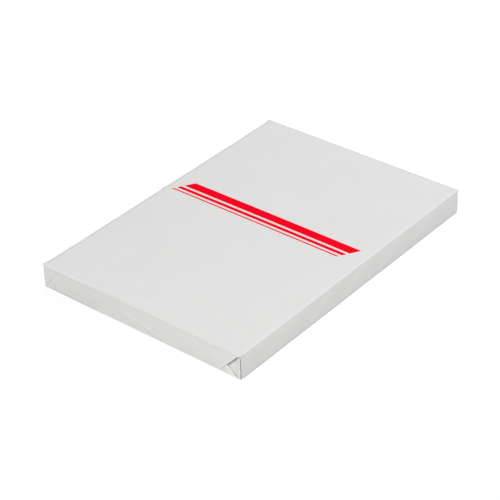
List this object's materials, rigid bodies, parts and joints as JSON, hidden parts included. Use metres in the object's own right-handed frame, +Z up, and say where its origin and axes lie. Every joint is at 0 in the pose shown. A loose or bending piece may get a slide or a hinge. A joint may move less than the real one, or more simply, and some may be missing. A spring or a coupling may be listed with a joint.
{
  "type": "wrapped ream of paper",
  "caption": "Sealed flat pack of A4 sheets in a white paper wrapper, folded shut at both short ends, with a plain red print across the middle.",
  "frame": {"origin": "middle of the underside, on the surface that the pack lies on", "axes": "+Z up out of the printed face, +Y along the pack's long side, from the front folded end to the back one, +X along its short side"},
  "size_m": [0.2106, 0.2998, 0.0228],
  "materials": {
    "wrapper_paper": "smooth satin paper"
  },
  "bodies": {
    "root": {"wrapped_ream": "wrapper_paper"}
  },
  "joints": []
}
